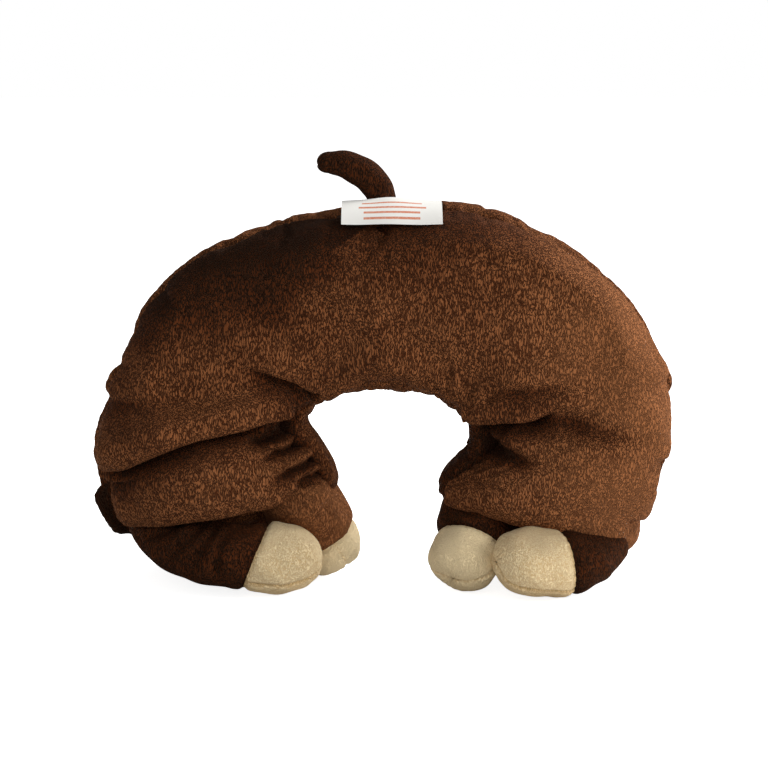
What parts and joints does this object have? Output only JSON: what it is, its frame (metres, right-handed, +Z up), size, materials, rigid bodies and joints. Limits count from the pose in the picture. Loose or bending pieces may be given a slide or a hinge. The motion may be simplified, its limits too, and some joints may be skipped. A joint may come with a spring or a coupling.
{
  "type": "stuffed monkey neck pillow",
  "caption": "Horseshoe-shaped plush monkey filled with loose beads, worn round the neck as a travel pillow, with swinging limbs, tail, head and ears.",
  "frame": {"origin": "on the floor, under the middle of the whole toy's box as it stands on the two ends of its arch", "axes": "+X to the right seen from the monkey's back, +Y towards its face, +Z up"},
  "size_m": [0.3, 0.165, 0.2327],
  "materials": {
    "brown_plush": "short-pile velour plush, brushed",
    "cream_plush": "short-pile cream plush",
    "liner_cloth": "plain woven polyester",
    "bead_fill": "loose expanded beads",
    "fibre_fill": "polyester fibre",
    "label_ribbon": "coated white ribbon",
    "mouth_thread": "embroidery thread",
    "black_plastic": "polished",
    "washer_plastic": "as moulded"
  },
  "bodies": {
    "crown": {"cover_back": "brown_plush", "cover_front": "brown_plush", "liner_back": "liner_cloth", "liner_front": "liner_cloth", "beads_crown": "bead_fill"},
    "arm_left": {"beads_arm_left": "bead_fill"},
    "arm_right": {"beads_arm_right": "bead_fill"},
    "foot_left": {"foot_left_sleeve": "brown_plush", "foot_left_paw_top": "cream_plush", "foot_left_sole": "cream_plush", "foot_left_stuffing": "fibre_fill"},
    "foot_right": {"foot_right_sleeve": "brown_plush", "foot_right_paw_top": "cream_plush", "foot_right_sole": "cream_plush", "foot_right_stuffing": "fibre_fill"},
    "hand_left": {"hand_left_sleeve": "brown_plush", "hand_left_paw_top": "cream_plush", "hand_left_sole": "cream_plush", "hand_left_stuffing": "fibre_fill"},
    "hand_right": {"hand_right_sleeve": "brown_plush", "hand_right_paw_top": "cream_plush", "hand_right_sole": "cream_plush", "hand_right_stuffing": "fibre_fill"},
    "tail": {"tail_sleeve": "brown_plush", "tail_stuffing": "fibre_fill"},
    "label": {"label": "label_ribbon"},
    "head": {"head_back": "brown_plush", "head_front": "brown_plush", "face_panel": "cream_plush", "head_stuffing": "fibre_fill", "muzzle_panel": "cream_plush", "muzzle_stuffing": "fibre_fill", "nose": "black_plastic", "mouth_stitch": "mouth_thread", "eye_left": "black_plastic", "eye_right": "black_plastic", "eye_washer_left": "washer_plastic", "eye_washer_right": "washer_plastic"},
    "ear_left": {"ear_left_back": "brown_plush", "ear_left_front": "cream_plush"},
    "ear_right": {"ear_right_back": "brown_plush", "ear_right_front": "cream_plush"}
  },
  "joints": [
    {"name": "arm_left_flex", "type": "hinge", "parent": "crown", "child": "arm_left", "pos_m": [-0.0839, -0.02521, 0.1174], "axis": [0, 1, 0], "range_deg": [-8, 20], "deforming": ["cover_back", "cover_front", "liner_back", "liner_front"]},
    {"name": "arm_right_flex", "type": "hinge", "parent": "crown", "child": "arm_right", "pos_m": [0.0851, -0.02521, 0.1176], "axis": [0, -1, 0], "range_deg": [-8, 20], "deforming": ["cover_back", "cover_front", "liner_back", "liner_front"]},
    {"name": "foot_left_swing", "type": "hinge", "parent": "arm_left", "child": "foot_left", "pos_m": [-0.108, -0.05221, 0.024], "axis": [0, 0, -1], "range_deg": [0, 60]},
    {"name": "foot_right_swing", "type": "hinge", "parent": "arm_right", "child": "foot_right", "pos_m": [0.114, -0.05321, 0.023], "axis": [0, 0, 1], "range_deg": [0, 60]},
    {"name": "hand_left_swing", "type": "hinge", "parent": "arm_left", "child": "hand_left", "pos_m": [-0.045, -0.01421, 0.033], "axis": [0, -1, 0], "range_deg": [0, 40]},
    {"name": "hand_right_swing", "type": "hinge", "parent": "arm_right", "child": "hand_right", "pos_m": [0.046, -0.02021, 0.033], "axis": [0, 1, 0], "range_deg": [0, 40]},
    {"name": "tail_sway", "type": "hinge", "parent": "crown", "child": "tail", "pos_m": [-0.002, -0.01741, 0.2084], "axis": [0, 1, 0], "range_deg": [-15, 90]},
    {"name": "label_flip", "type": "hinge", "parent": "crown", "child": "label", "pos_m": [0.004, -0.02731, 0.2042], "axis": [-1, 0, 0], "range_deg": [0, 85]},
    {"name": "head_nod", "type": "hinge", "parent": "crown", "child": "head", "pos_m": [0, 0.01579, 0.144], "axis": [1, 0, 0], "range_deg": [-10, 10]},
    {"name": "ear_left_fold", "type": "hinge", "parent": "head", "child": "ear_left", "pos_m": [-0.0475, 0.04429, 0.15], "axis": [0, 0, 1], "range_deg": [-30, 30]},
    {"name": "ear_right_fold", "type": "hinge", "parent": "head", "child": "ear_right", "pos_m": [0.0475, 0.04429, 0.15], "axis": [0, 0, 1], "range_deg": [-30, 30]}
  ]
}
